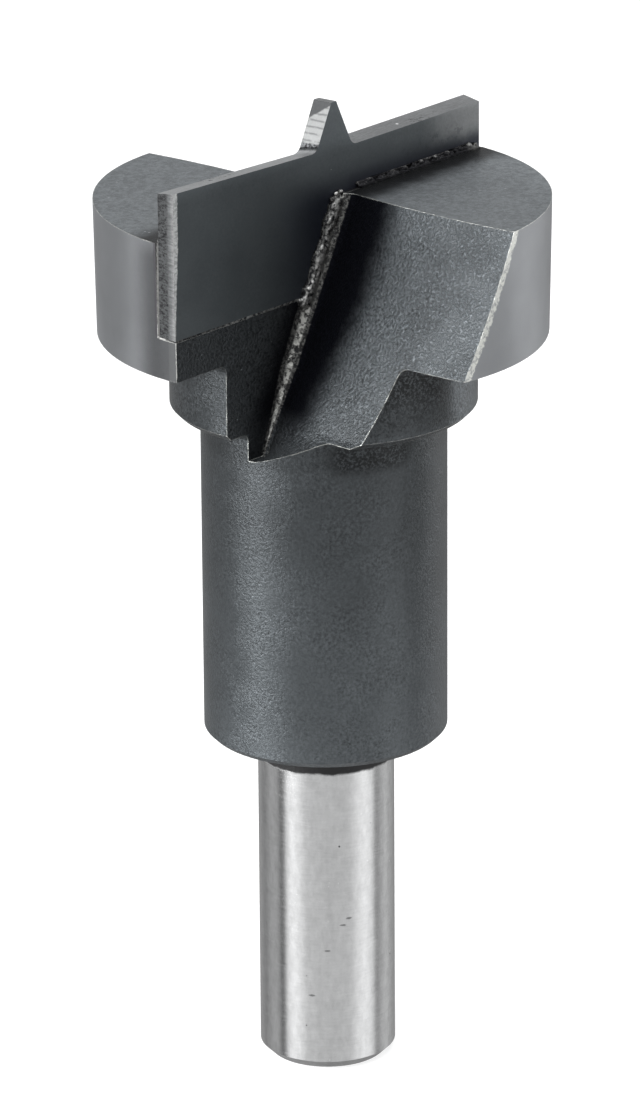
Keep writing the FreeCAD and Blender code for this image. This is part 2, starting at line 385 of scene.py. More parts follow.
class Effects:
    """The node groups that several finishes share."""

    def __init__(self, sizes: BitSizes) -> None:
        """Builds each group once.

        Args:
            sizes: The part's sizes.
        """
        self.sizes = sizes
        self.place = self.make_place()
        self.root = self.make_root()
        self.grain = self.make_grain()
        self.marks = self.make_marks()
        self.specks = self.make_specks()
        self.edges = self.make_edges()

    def new_group(self, name: str, inputs: dict[str, Value], outputs: list[str]) -> tuple:
        """Starts a group with its sockets.

        Args:
            name: The group's name.
            inputs: Default of each input by name; None makes a vector input.
            outputs: Names of the value outputs.

        Returns:
            The graph, the sockets of the group's input node and of its output node.
        """
        tree = bpy.data.node_groups.new(name, "ShaderNodeTree")
        for label, default in inputs.items():
            kind = "NodeSocketVector" if default is None else "NodeSocketFloat"
            socket = tree.interface.new_socket(label, in_out="INPUT", socket_type=kind)
            if default is not None:
                socket.default_value = default
        for label in outputs:
            tree.interface.new_socket(label, in_out="OUTPUT", socket_type="NodeSocketFloat")
        graph = Graph(tree)
        return graph, graph.add("NodeGroupInput").outputs, graph.add("NodeGroupOutput").inputs

    def make_place(self) -> bpy.types.NodeTree:
        """Builds the group that says where a point is on the bit, in millimetres.

        Returns:
            A group with the radius, the height, the distance along the plate towards the half's
            own wing, the distance across it, how far the point is behind the flute's inclined
            wall and a mask of the front half.
        """
        names = ["Radius", "Height", "Along", "Across", "Wall", "Front"]
        graph, source, result = self.new_group("Place on the bit", {"Vector": None}, names)
        x, y, z = graph.parts(source["Vector"])
        front = graph.below(y, 0.0)
        along = graph.times(x, graph.scale_add(front, 2.0, -1.0))
        squares = graph.plus(graph.times(x, x), graph.times(y, y))
        corner = graph.blend(front, self.sizes.back_corner, self.sizes.front_corner)
        drop = graph.minus(z, self.sizes.wing_top)
        line = graph.scale_add(drop, self.sizes.flute_slope, corner)
        wall = graph.minus(along, line)
        values = (graph.math("SQRT", squares), z, along, graph.size(y), wall, front)
        for name, value in zip(names, values):
            graph.feed(result[name], value)
        return graph.tree

    def make_root(self) -> bpy.types.NodeTree:
        """Builds the group that measures from a flute's inner corner.

        Returns:
            A group with the distance from the corner and with its share of the root's radius,
            which grows faster on the inclined wall.
        """
        inputs = {"Height": 0.0, "Across": 0.0, "Wall": 0.0}
        graph, source, result = self.new_group("Distance from the root", inputs, ["Distance", "Share"])
        sizes = self.sizes
        beside = graph.size(graph.minus(source["Across"], sizes.web_half))
        behind = graph.size(source["Wall"])
        distance = graph.plus(behind, beside)
        lean = graph.math("MAXIMUM", graph.minus(beside, behind), 0.0)
        stations = (
            (sizes.runout_foot, sizes.root_foot),
            (sizes.runout_start, sizes.root_low),
            (sizes.root_mid_height, sizes.root_mid),
            (sizes.wing_top, sizes.root_top))
        radius = sizes.root_foot
        for (low, thin), (high, wide) in zip(stations, stations[1:]):
            radius = graph.plus(radius, graph.ramp(source["Height"], low, high, 0.0, wide - thin))
        graph.feed(result["Distance"], distance)
        graph.feed(result["Share"], graph.math("DIVIDE", graph.scale_add(lean, LEAN, distance), radius))
        return graph.tree

    def make_grain(self) -> bpy.types.NodeTree:
        """Builds the fine pitted grain of a blackened surface.

        Returns:
            A group with a speck value around 0 and a slow cloud around 0.
        """
        inputs = {"Vector": None, "Fineness": 4.5}
        graph, source, result = self.new_group("Pitted grain", inputs, ["Speck", "Cloud"])
        fine = graph.noise(source["Vector"], source["Fineness"], 3.0, 0.7)
        patch = graph.noise(source["Vector"], 0.35, 2.0)
        slow = graph.noise(source["Vector"], 0.16, 3.0)
        centred = graph.minus(fine, 0.5)
        amount = graph.band(patch, 0.35, 0.62, 0.5, 1.0)
        graph.feed(result["Speck"], graph.times(centred, amount))
        graph.feed(result["Cloud"], graph.minus(slow, 0.5))
        return graph.tree

    def make_marks(self) -> bpy.types.NodeTree:
        """Builds fine marks that run round the tool or along a ground face.

        Returns:
            A group with a value around 0 that is long in X and Y and short in Z.
        """
        inputs = {"Vector": None, "Fineness": 8.0}
        graph, source, result = self.new_group("Grinding marks", inputs, ["Mark"])
        long_way = graph.stretch(source["Vector"], (0.12, 0.12, 1.0))
        fine = graph.noise(long_way, source["Fineness"], 3.0, 0.6)
        graph.feed(result["Mark"], graph.minus(fine, 0.5))
        return graph.tree

    def make_specks(self) -> bpy.types.NodeTree:
        """Builds sparse pale specks.

        Returns:
            A group with a mask that is 1 on a speck.
        """
        inputs = {"Vector": None, "Spacing": 1.2, "Share": 0.12, "Size": 0.1}
        graph, source, result = self.new_group("Pale specks", inputs, ["Mask"])
        cells = graph.add("ShaderNodeTexVoronoi", feature="F1")
        graph.feed(cells.inputs["Vector"], source["Vector"])
        graph.feed(cells.inputs["Scale"], source["Spacing"])
        chance, growth, _ = graph.parts(cells.outputs["Color"])
        chosen = graph.below(chance, source["Share"])
        size = graph.times(source["Size"], graph.plus(growth, 0.5))
        inside = graph.below(cells.outputs["Distance"], size)
        graph.feed(result["Mask"], graph.times(chosen, inside))
        return graph.tree

    def make_edges(self) -> bpy.types.NodeTree:
        """Builds the mask of worn, bright cut edges, broken along their length.

        Returns:
            A group with a mask that is 1 on an edge.
        """
        inputs = {"Vector": None, "Reach": 0.13}
        graph, source, result = self.new_group("Cut edges", inputs, ["Mask"])
        rounded = graph.add("ShaderNodeBevel", samples=6)
        graph.feed(rounded.inputs["Radius"], graph.times(source["Reach"], MM))
        likeness = graph.add("ShaderNodeVectorMath", operation="DOT_PRODUCT")
        graph.feed(likeness.inputs[0], rounded.outputs[0])
        graph.feed(likeness.inputs[1], graph.add("ShaderNodeNewGeometry").outputs["True Normal"])
        turned = graph.minus(1.0, likeness.outputs["Value"])
        broken = graph.band(graph.noise(source["Vector"], 1.1, 3.0, 0.7), 0.36, 0.6, 0.2, 1.0)
        graph.feed(result["Mask"], graph.times(graph.band(turned, 0.02, 0.12), broken))
        return graph.tree


class Layers:
    """A finish in the making: its colour, roughness, metal share and relief, laid zone by zone."""

    def __init__(self, name: str, effects: Effects, colour: tuple, rough: float, metal: float) -> None:
        """Starts the material with the finish under all zones.

        Args:
            name: The material's name.
            effects: The shared groups.
            colour: The first colour.
            rough: The first roughness.
            metal: The first metal share.
        """
        self.material = bpy.data.materials.new(name)
        self.material.use_nodes = True
        self.graph = Graph(self.material.node_tree)
        self.effects = effects
        coordinates = self.graph.add("ShaderNodeTexCoord").outputs
        self.spot = self.graph.stretch(coordinates["Object"], (1 / MM,) * 3)
        self.facing = self.graph.parts(coordinates["Normal"])
        place = self.graph.group(effects.place, Vector=self.spot)
        self.radius, self.height, self.along = place["Radius"], place["Height"], place["Along"]
        self.across, self.wall, self.front = place["Across"], place["Wall"], place["Front"]
        self.outward = self.find_outward()
        self.colour, self.rough, self.metal, self.relief = colour, rough, metal, 0.0

    def find_outward(self) -> Socket:
        """Gives how far the surface faces away from the tool's axis, 1 on a round outside.

        Returns:
            The value's socket.
        """
        graph = self.graph
        x, y, _ = graph.parts(self.spot)
        along_x = graph.times(x, self.facing[0])
        both = graph.scale_add(y, self.facing[1], along_x)
        return graph.math("DIVIDE", both, graph.math("MAXIMUM", self.radius, 1.0))

    def ragged(self, value: Value, scale: float, size: float) -> Socket:
        """Shifts a value to and fro, so that a limit on it becomes ragged.

        Args:
            value: The value to shift.
            scale: Cells in each millimetre.
            size: About the largest shift.

        Returns:
            The shifted value's socket.
        """
        return self.graph.plus(value, self.graph.jitter(self.spot, scale, size))

    def pattern(self, grain: tuple, low: float, high: float,
                to_low: float = 0.0, to_high: float = 1.0) -> Socket:
        """Gives a noise that is sharpened between two of its levels.

        Args:
            grain: Scale, detail and roughness of the noise.
            low: The level where the result is to_low.
            high: The level where the result is to_high.
            to_low: The result at the low level.
            to_high: The result at the high level.

        Returns:
            The pattern's socket.
        """
        return self.graph.band(self.graph.noise(self.spot, *grain), low, high, to_low, to_high)

    def wing_outside(self) -> Socket:
        """Gives the mask of the wings' round outside.

        Returns:
            The mask's socket.
        """
        graph, sizes = self.graph, self.effects.sizes
        return graph.times(
            graph.above(self.radius, sizes.cutting_radius - 0.6),
            graph.above(self.height, sizes.wing_foot - 0.05),
            graph.band(self.outward, 0.75, 0.9))

    def crumbs(self, mask: Value, colour: tuple, fineness: float) -> None:
        """Lays a dense sandy pattern of another colour over a zone.

        Args:
            mask: Where the zone is.
            colour: The pattern's colour.
            fineness: Cells in each millimetre.
        """
        graph = self.graph
        sand = graph.band(graph.noise(self.spot, fineness, 2.0, 0.75), 0.46, 0.62)
        self.colour = graph.mix(graph.times(mask, sand), self.colour, colour)

    def lay(self, mask: Value, colour: Value, rough: Value, metal: Value) -> None:
        """Lays a zone over what is there.

        Args:
            mask: Where the zone is, from 0 to 1.
            colour: Its colour.
            rough: Its roughness.
            metal: Its metal share.
        """
        self.colour = self.graph.mix(mask, self.colour, colour)
        self.rough = self.graph.blend(mask, self.rough, rough)
        self.metal = self.graph.blend(mask, self.metal, metal)

    def shade(self, mask: Value, level: float) -> None:
        """Takes the colour to a share of itself where the mask is 1."""
        self.colour = self.graph.scaled(self.colour, self.graph.blend(mask, 1.0, level))

    def grain(self, amount: Value, fineness: float, relief: float) -> None:
        """Breaks up the colour and the relief with the pitted grain.

        Args:
            amount: Strength of the grain in the colour.
            fineness: Cells in each millimetre.
            relief: Strength of the grain in the relief.
        """
        graph = self.graph
        out = graph.group(self.effects.grain, Vector=self.spot, Fineness=fineness)
        light = graph.scale_add(out["Speck"], amount, 1.0)
        cloud = graph.scale_add(out["Cloud"], 0.7, 1.0)
        self.colour = graph.scaled(self.colour, graph.times(light, cloud))
        self.relief = graph.plus(self.relief, graph.times(out["Speck"], relief))

    def specks(self, mask: Value, colour: tuple, spacing: float, share: float, size: float) -> None:
        """Scatters pale specks over a zone.

        Args:
            mask: Where the zone is.
            colour: The specks' colour.
            spacing: Cells in each millimetre.
            share: Share of the cells with a speck.
            size: Size of a speck as a share of its cell.
        """
        out = self.graph.group(self.effects.specks, Vector=self.spot, Spacing=spacing, Share=share, Size=size)
        self.colour = self.graph.mix(self.graph.times(out["Mask"], mask), self.colour, colour)

    def finish(self, distance: float) -> bpy.types.Material:
        """Joins the layers to the shader.

        Args:
            distance: Height of the relief in millimetres.

        Returns:
            The finished material.
        """
        graph = self.graph
        shader = self.material.node_tree.nodes["Principled BSDF"]
        for name, value in (("Base Color", self.colour), ("Roughness", self.rough), ("Metallic", self.metal)):
            graph.feed(shader.inputs[name], value)
        bump = graph.add("ShaderNodeBump")
        bump.inputs["Distance"].default_value = distance * MM
        graph.feed(bump.inputs["Height"], self.relief)
        graph.feed(shader.inputs["Normal"], bump.outputs["Normal"])
        return self.material


@dataclass(frozen=True)
class Finish:
    """What all finishes share: the surface under all zones and the making of the material."""

    name: str = "finish"
    # Linear colour, roughness and metal share of that surface.
    under: tuple = (0.5, 0.5, 0.5, 1.0)
    rough: float = 0.5
    metal: float = 0.7
    # Height of the relief in millimetres.
    relief: float = 0.05

    def make(self, effects: Effects) -> bpy.types.Material:
        """Builds the material.

        Args:
            effects: The shared groups.

        Returns:
            The new material.
        """
        coat = Layers(self.name, effects, self.under, self.rough, self.metal)
        self.lay_zones(coat)
        return coat.finish(self.relief)

    def lay_zones(self, coat: Layers) -> None:
        """Lays the finish's zones over that surface.

        Args:
            coat: The finish in the making.
        """
        raise NotImplementedError(self.name)


@dataclass(frozen=True)
class SteelFinish(Finish):
    """Blackened steel with ground wings and a bright ground shank."""

    name: str = "blackened_steel_finish"
    under: tuple = (0.062, 0.069, 0.074, 1.0)
    rough: float = 0.32
    metal: float = 0.6
    # Linear colours of the zones.
    wing: tuple = (0.33, 0.34, 0.355, 1.0)
    top: tuple = (0.172, 0.186, 0.196, 1.0)
    # Black is painted shade in the flutes' roots and the colour of the shank's scratches.
    black: tuple = (0.006, 0.0065, 0.009, 1.0)
    heat: tuple = (0.07, 0.068, 0.075, 1.0)
    rope_dark: tuple = (0.02, 0.02, 0.021, 1.0)
    rope_light: tuple = (0.12, 0.12, 0.115, 1.0)
    ridge: tuple = (0.42, 0.42, 0.4, 1.0)
    front_land: tuple = (0.11, 0.113, 0.116, 1.0)
    ground: tuple = (0.72, 0.725, 0.73, 1.0)
    bright: tuple = (0.85, 0.86, 0.86, 1.0)
    edge: tuple = (0.8, 0.81, 0.77, 1.0)
    # Spans along the plate, in millimetres: painted shadow under the collar, and scale with the wing's
    # painted shadow on the collar.
    painted_shadow_span: tuple = (-6.2, -1.0)
    scale_and_shadow_start: tuple = (1.8, -0.6)
    scale_and_shadow_end: tuple = (-8.8, -8.2)
    # Width of the heat band beside the plate, in millimetres.
    heat_width: float = 1.4
    # Places of the scratches on the shank, in millimetres.
    scratches: tuple = ((-2.87, -4.1, 11.6), (-3.76, -3.3, 9.6), (-4.4, -2.37, 6.0), (-2.48, -4.34, 12.1))

    def lay_zones(self, coat: Layers) -> None:
        """Lays the zones of the steel, from the body to the shank.

        Args:
            coat: The finish in the making.
        """
        self.lay_body(coat)
        self.lay_tops(coat)
        self.lay_wings(coat)
        self.lay_flutes(coat)
        self.lay_edges(coat)
        self.lay_shank(coat)

    def lay_body(self, coat: Layers) -> None:
        """Lays the oxide's grain and the collar's scale, lighter at the body's foot, with painted shade under
        the collar, painted shadow of the wing on the collar and painted light beside it.

        Args:
            coat: The finish in the making.
        """
        graph, sizes = coat.graph, coat.effects.sizes
        in_head = graph.band(coat.height, sizes.runout_foot - 1.0, sizes.collar_foot + 1.0)
        coat.grain(graph.blend(in_head, 2.4, 4.2), 4.6, 1.0)
        coat.shade(graph.band(coat.height, sizes.collar_foot - 4.0, sizes.body_foot, 0.0, 1.0), 1.65)
        under_collar = graph.times(
            graph.window(coat.height, sizes.collar_foot - 2.4, sizes.collar_foot - 0.1, 0.6),
            graph.below(coat.radius, sizes.body_radius + 0.1))
        # Painted shade on the body under the collar.
        coat.shade(under_collar, 0.8)
        ragged = coat.ragged(coat.along, 0.6, 1.2)
        # Painted shadow: a darker patch under the collar's front, broken by sandy crumbs.
        painted_shadow_patch = graph.times(under_collar, graph.window(ragged, *self.painted_shadow_span, 0.7), coat.front)
        coat.shade(painted_shadow_patch, 0.3)
        coat.crumbs(painted_shadow_patch, self.under, 5.0)
        on_collar = graph.times(
            graph.window(coat.height, sizes.collar_foot, sizes.wing_foot, 0.05),
            graph.above(coat.radius, sizes.collar_radius - 0.1))
        scale = graph.times(
            on_collar,
            graph.band(coat.along, *self.scale_and_shadow_start),
            graph.band(coat.along, *self.scale_and_shadow_end))
        # The scale zone also carries painted shadow: the collar under the wing is taken darker.
        coat.shade(scale, 0.64)
        # Painted light where the collar's lowest millimetre catches the light.
        near_foot = graph.band(coat.height, sizes.collar_foot + 1.3, sizes.collar_foot + 0.3)
        coat.shade(graph.times(scale, near_foot), 1.9)
        high = coat.ragged(coat.height, 0.7, 0.9)
        # Painted shadow of the wing, strongest on the collar's upper part.
        upper = graph.band(high, sizes.collar_foot + 1.2, sizes.collar_foot + 4.2)
        coat.shade(graph.times(scale, upper), 0.25)
        # Painted light on the collar beside the wing's painted shadow.
        painted_lit_collar = graph.times(on_collar, graph.band(coat.along, 0.4, 2.6), coat.front)
        coat.shade(painted_lit_collar, 2.1)
        coat.crumbs(scale, self.under, 5.0)

    def lay_tops(self, coat: Layers) -> None:
        """Lays the wings' smooth tops, with painted shade beside the plate and painted light at the right
        wing's end.

        Args:
            coat: The finish in the making.
        """
        graph, sizes = coat.graph, coat.effects.sizes
        on_top = graph.band(coat.facing[2], 0.9, 0.95)
        on_top = graph.times(on_top, graph.above(coat.height, sizes.wing_top - 0.1))
        coat.lay(on_top, self.top, 0.36, 0.6)
        # Painted light: the right wing's top paler towards its end.
        coat.shade(graph.times(on_top, graph.band(graph.parts(coat.spot)[0], 9.0, 14.0)), 1.22)
        ragged = coat.ragged(coat.across, 0.8, 0.6)
        # Painted shade and painted reflection of the dark plate on the wing tops beside it.
        beside = graph.times(on_top, graph.band(ragged, sizes.slot_half + 1.0, 4.6, 1.0, 0.0))
        coat.shade(beside, 0.05)
        coat.specks(on_top, self.wing, 1.9, 0.07, 0.12)
        dust = coat.pattern((2.4, 3.0, 0.8), 0.3, 0.7, 0.7, 1.25)
        coat.colour = graph.scaled(coat.colour, graph.blend(on_top, 1.0, dust))

    def lay_wings(self, coat: Layers) -> None:
        """Lays the wings' ground outside, with painted light on the left wing's far side, the heat band at
        the slot and the front lands.

        Args:
            coat: The finish in the making.
        """
        graph, sizes = coat.graph, coat.effects.sizes
        outside = coat.wing_outside()
        cloud = graph.group(coat.effects.grain, Vector=coat.spot)["Cloud"]
        coat.lay(outside, graph.scaled(self.wing, graph.scale_add(cloud, 0.5, 1.0)), 0.44, 1.0)
        own_side = graph.above(coat.along, 0.0)
        # Painted light: the left wing's far side taken paler.
        far_left = graph.times(graph.flip(coat.front), graph.band(graph.parts(coat.spot)[0], 0.0, -8.0))
        coat.shade(graph.times(outside, far_left, graph.band(coat.across, 4.0, 9.0)), 1.2)
        ragged = coat.ragged(coat.across, 2.0, 0.12)
        coat.shade(graph.times(outside, own_side, graph.band(ragged, 4.0, 1.3)), 0.55)
        low = graph.band(coat.height, sizes.plate_foot + 7.2, sizes.plate_foot + 5.4)
        coat.shade(graph.times(outside, own_side, low, graph.band(ragged, 4.2, 0.8)), 0.5)
        beside_plate = graph.band(coat.height, sizes.plate_foot - 0.1, sizes.plate_foot + 0.1)
        heated = graph.band(ragged, self.heat_width, self.heat_width - 0.25)
        heated = graph.times(outside, own_side, beside_plate, heated)
        coat.lay(heated, self.heat, 0.5, 0.7)
        ragged = coat.ragged(ragged, 4.0, 0.12)
        front_land = graph.window(ragged, -0.6, sizes.web_half + 0.4, 0.2)
        coat.lay(graph.times(outside, graph.flip(own_side), front_land), self.front_land, 0.5, 1.0)
        behind = coat.ragged(graph.minus(coat.wall, sizes.flute_flare), 2.6, 0.4)
        worn = coat.pattern((3.6, 3.0, 0.7), 0.36, 0.54, 0.25, 1.0)
        at_flute = graph.above(coat.across, 3.0)
        coat.lay(graph.times(outside, at_flute, graph.band(behind, 0.6, 0.45), worn), self.edge, 0.45, 1.0)
        coat.relief = graph.times(coat.relief, graph.band(outside, 0.0, 1.0, 1.0, 0.2))

    def lay_flutes(self, coat: Layers) -> None:
        """Lays the flutes' roots in painted black shade, and the granular rope along each root.

        Args:
            coat: The finish in the making.
        """
        graph, sizes = coat.graph, coat.effects.sizes
        root = graph.group(coat.effects.root, Height=coat.height, Across=coat.across, Wall=coat.wall)
        over_foot = graph.above(coat.height, sizes.collar_foot)
        reach = graph.scale_add(over_foot, sizes.collar_radius - sizes.body_radius, sizes.body_radius - 0.1)
        in_wings = graph.above(coat.height, sizes.wing_foot)
        reach = graph.scale_add(in_wings, sizes.cutting_radius - sizes.collar_radius, reach)
        in_flute = graph.times(
            graph.below(coat.radius, reach),
            graph.flip(coat.wing_outside()),
            graph.window(coat.height, sizes.runout_foot - 0.6, sizes.wing_top - 0.01, 0.01))
        on_plate_wall = graph.times(in_flute, graph.band(graph.size(coat.facing[1]), 0.9, 0.97))
        # Painted shade: the wall under the plate darkened for the dark surroundings it reflects.
        coat.shade(on_plate_wall, 0.62)
        coat.specks(on_plate_wall, self.top, 2.2, 0.16, 0.13)
        spread = graph.ramp(coat.height, sizes.runout_foot + 1.6, sizes.root_mid_height + 5.0, 3.2, 5.4)
        spread = graph.blend(on_plate_wall, spread, 2.6)
        ragged = coat.ragged(graph.minus(root["Distance"], spread), 0.9, 0.7)
        # Painted light: the inclined wall made lighter towards the root, against the shade that falls there.
        lighter = graph.times(in_flute, graph.flip(on_plate_wall), graph.band(ragged, 5.5, -0.5))
        coat.shade(lighter, 1.3)
        incline = graph.times(in_flute, graph.flip(on_plate_wall))
        coat.shade(incline, 1.12)
        at_foot = graph.band(coat.height, sizes.runout_foot + 4.6, sizes.runout_foot + 2.6)
        coat.shade(graph.times(incline, at_foot), 0.8)
        # Painted shade: the root's black, weaker towards the run-out's foot.
        deep = graph.band(coat.height, sizes.runout_foot + 0.8, sizes.runout_foot + 3.6, 0.25, 1.0)
        coat.lay(graph.times(in_flute, deep, graph.band(ragged, 1.5, -1.6)), self.black, 0.6, 1.0)
        share = coat.ragged(root["Share"], 3.2, 0.06)
        crumbs = coat.pattern((4.6, 2.0, 0.7), 0.42, 0.62)
        rope = graph.mix(crumbs, self.rope_dark, self.rope_light)
        coat.lay(graph.times(in_flute, graph.band(share, 1.12, 0.98)), rope, 0.5, 0.8)
        ridge = graph.times(graph.band(share, 0.73, 0.62),
                            graph.band(coat.height, sizes.plate_foot + 0.2, sizes.plate_foot - 0.3))
        lumps = coat.pattern((2.6, 2.0, 0.6), 0.4, 0.56)
        coat.lay(graph.times(in_flute, ridge, lumps), self.ridge, 0.4, 1.0)
        coat.relief = graph.plus(coat.relief, graph.times(in_flute, crumbs, 0.4))

    def lay_edges(self, coat: Layers) -> None:
        """Lays the thin bright lines on the cut edges of the head, the collar and the flutes.

        Args:
            coat: The finish in the making.
        """
        graph, sizes = coat.graph, coat.effects.sizes
        edge = graph.group(coat.effects.edges, Vector=coat.spot)["Mask"]
        on_head = graph.above(coat.height, sizes.runout_foot - 1.5)
        under_wing = graph.window(coat.height, sizes.wing_foot - 0.3, sizes.wing_foot + 0.3, 0.1)
        at_slot = graph.times(
            graph.above(coat.radius, sizes.cutting_radius - 0.5),
            graph.window(coat.across, sizes.slot_half - 0.15, sizes.slot_half + 0.45, 0.1))
        level = graph.times(graph.blend(under_wing, 0.8, 0.2), graph.blend(at_slot, 1.0, 0.15))
        coat.lay(graph.times(edge, on_head, level), self.edge, 0.4, 1.0)

    def lay_shank(self, coat: Layers) -> None:
        """Lays the ground shank with its turning marks and scratches, and the black neck ring.

        Args:
            coat: The finish in the making.
        """
        graph, sizes = coat.graph, coat.effects.sizes
        height = coat.ragged(coat.height, 1.3, 0.18)
        neck_foot = sizes.body_foot - sizes.neck_length
        mark = graph.group(coat.effects.marks, Vector=coat.spot)["Mark"]
        cloud = graph.jitter(graph.stretch(coat.spot, (1.0, 1.0, 0.5)), 1.9, 0.22)
        ground = graph.scaled(self.ground, graph.plus(graph.scale_add(mark, 0.2, 1.0), cloud))
        for scratch in self.scratches:
            apart = graph.add("ShaderNodeVectorMath", operation="SUBTRACT")
            graph.feed(apart.inputs[0], coat.spot)
            graph.feed(apart.inputs[1], scratch)
            length = graph.add("ShaderNodeVectorMath", operation="LENGTH")
            graph.feed(length.inputs[0], graph.stretch(apart.outputs[0], (1.0, 1.0, 2.6)))
            far = coat.ragged(length.outputs["Value"], 3.0, 0.16)
            ground = graph.mix(graph.band(far, 0.3, 0.12, 0.0, 0.6), ground, self.black)
        below = graph.below(coat.height, sizes.body_foot - 0.35)
        on_shank = graph.band(height, neck_foot + 0.12, neck_foot - 0.12)
        coat.lay(below, self.rope_dark, 0.5, 0.3)
        coat.lay(on_shank, ground, graph.scale_add(mark, 0.14, 0.2), 1.0)
        coat.specks(on_shank, self.heat, 1.3, 0.08, 0.07)
        coat.specks(on_shank, self.bright, 1.9, 0.1, 0.1)
        coat.relief = graph.times(coat.relief, graph.flip(on_shank))
        coat.relief = graph.plus(coat.relief, graph.times(mark, on_shank, 0.12))


@dataclass(frozen=True)
class HardMetalFinish(Finish):
    """Ground hard metal: dark faces, pale relief faces and bright flanks at the point."""

    name: str = "hard_metal_finish"
    under: tuple = (0.25, 0.255, 0.26, 1.0)
    rough: float = 0.34
    metal: float = 0.7
    relief: float = 0.02
    # Linear colours of the zones.
    face: tuple = (0.085, 0.096, 0.102, 1.0)
    # Navy is painted shade near the root and beside the bead, and the colour of the dark smudges.
    navy: tuple = (0.024, 0.028, 0.04, 1.0)
    # Patch is painted light at the face's outer end and the colour of the face's specks.
    patch: tuple = (0.24, 0.25, 0.255, 1.0)
    flank: tuple = (0.12, 0.122, 0.122, 1.0)
    bare: tuple = (0.029, 0.03, 0.031, 1.0)
    land: tuple = (0.125, 0.129, 0.132, 1.0)
    lip: tuple = (0.78, 0.79, 0.785, 1.0)
    front: tuple = (0.215, 0.219, 0.221, 1.0)
    dark: tuple = (0.07, 0.073, 0.075, 1.0)
    black: tuple = (0.01, 0.01, 0.011, 1.0)
    speck: tuple = (0.8, 0.8, 0.8, 1.0)
    # Span along the plate of the chips behind the edge, in millimetres.
    chipped_span: tuple = (9.0, 12.2)
    # Grinding lines on the point's flanks.
    lines_per_mm: float = 2.2

    def lay_zones(self, coat: Layers) -> None:
        """Lays the zones of the plate, from the relief faces to the point's flanks.

        Args:
            coat: The finish in the making.
        """
        self.lay_reliefs(coat)
        self.lay_faces(coat)
        self.lay_ends(coat)
        self.lay_flanks(coat)
        coat.grain(0.5, 5.0, 0.4)

    def lay_reliefs(self, coat: Layers) -> None:
        """Lays fine scratches and dark chips on the faces behind the edges, with painted light on the left
        half.

        Args:
            coat: The finish in the making.
        """
        graph = coat.graph
        mark = graph.noise(graph.stretch(coat.spot, (0.5, 5.0, 1.0)), 3.0, 3.0, 0.7)
        coat.shade(graph.band(mark, 0.35, 0.65), 0.72)
        chips = coat.pattern((2.4, 3.0, 0.7), 0.54, 0.62)
        chips = graph.times(chips, graph.window(coat.along, *self.chipped_span, 0.5))
        coat.lay(chips, self.dark, 0.5, 0.5)
        # Painted light: the relief faces on the left half taken paler.
        coat.shade(graph.band(graph.parts(coat.spot)[0], 0.0, -3.0), 1.75)
        coat.specks(1.0, self.speck, 1.5, 0.1, 0.12)

    def lay_faces(self, coat: Layers) -> None:
        """Lays the dark faces, with painted near-black shade at the flute's root and painted light at the end
        beside the wing.

        Args:
            coat: The finish in the making.
        """
        graph, sizes = coat.graph, coat.effects.sizes
        on_face = graph.band(graph.size(coat.facing[1]), 0.7, 0.85)
        top, height, along = sizes.wing_top, coat.height, coat.along
        # Painted shade: navy darkening of the face near the flute's root.
        near_root = graph.times(graph.band(along, -8.0, -0.5), graph.band(height, top + 2.6, top - 0.5))
        colour = graph.mix(near_root, self.face, self.navy)
        # Painted shade: navy darkening of the face beside the bead.
        corner = graph.blend(coat.front, sizes.back_corner, sizes.front_corner)
        beside = graph.times(graph.band(along, corner, graph.plus(corner, 1.0)),
                             graph.band(height, top + 1.5, top + 0.3))
        colour = graph.mix(graph.times(beside, 0.8), colour, self.navy)
        # Painted light: a pale patch at the face's outer end, standing for the light it reflects.
        end = graph.times(
            graph.band(graph.plus(along, graph.jitter(coat.spot, 0.5, 1.6)), 9.3, 15.2),
            graph.band(graph.plus(height, graph.jitter(coat.spot, 0.7, 0.5)), top + 0.6, top + 2.0))
        colour = graph.mix(end, colour, self.patch)
        smudge = graph.times(
            coat.pattern((1.6, 3.0, 0.7), 0.5, 0.64),
            graph.window(along, 8.0, 14.6, 0.8), graph.window(height, top + 1.0, top + 2.2, 0.4))
        colour = graph.mix(graph.times(smudge, 0.4), colour, self.navy)
        coat.lay(on_face, colour, 0.36, 0.6)
        coat.shade(graph.times(on_face, graph.band(height, top + 2.8, top + 4.2)), 1.45)
        coat.specks(on_face, self.patch, 0.6, 0.12, 0.06)
        lip = graph.ramp(
            height, sizes.plate_foot, top, sizes.cutting_radius - 0.06, sizes.cutting_radius - 0.42)
        lip = graph.plus(graph.plus(along, lip), graph.jitter(coat.spot, 2.6, 0.12))
        scuffs = graph.noise(graph.stretch(coat.spot, (1.0, 1.0, 2.4)), 2.4, 3.0, 0.7)
        scuffs = graph.band(scuffs, 0.35, 0.6, 0.55, 1.0)
        coat.lay(graph.times(on_face, graph.band(lip, 0.06, -0.06), scuffs), self.lip, 0.4, 0.9)

    def lay_ends(self, coat: Layers) -> None:
        """Lays the plate's ends: a bright ground band at the edge and a rough dark part behind it.

        Args:
            coat: The finish in the making.
        """
        graph, sizes = coat.graph, coat.effects.sizes
        on_end = graph.above(coat.radius, sizes.cutting_radius - 0.2)
        on_end = graph.times(on_end, graph.band(graph.size(coat.facing[0]), 0.7, 0.85))
        lead = graph.below(coat.along, 0.0)
        depth = graph.minus(sizes.plate_half, coat.across)
        depth = graph.blend(lead, graph.minus(2 * sizes.plate_half, depth), depth)
        depth = coat.ragged(depth, 2.0, 0.12)
        rough = graph.band(graph.noise(graph.stretch(coat.spot, (1.0, 1.0, 2.0)), 3.4, 3.0, 0.75), 0.34, 0.6)
        back = graph.mix(rough, self.black, self.dark)
        front = graph.mix(graph.band(depth, 0.4, 0.05), self.land, self.front)
        streaks = graph.noise(graph.stretch(coat.spot, (0.6, 0.6, 5.0)), 1.6, 3.0, 0.75)
        front = graph.scaled(front, graph.band(streaks, 0.3, 0.7, 0.65, 1.2))
        coat.lay(on_end, graph.mix(graph.band(depth, 0.4, 0.75), front, back), 0.5, 0.8)

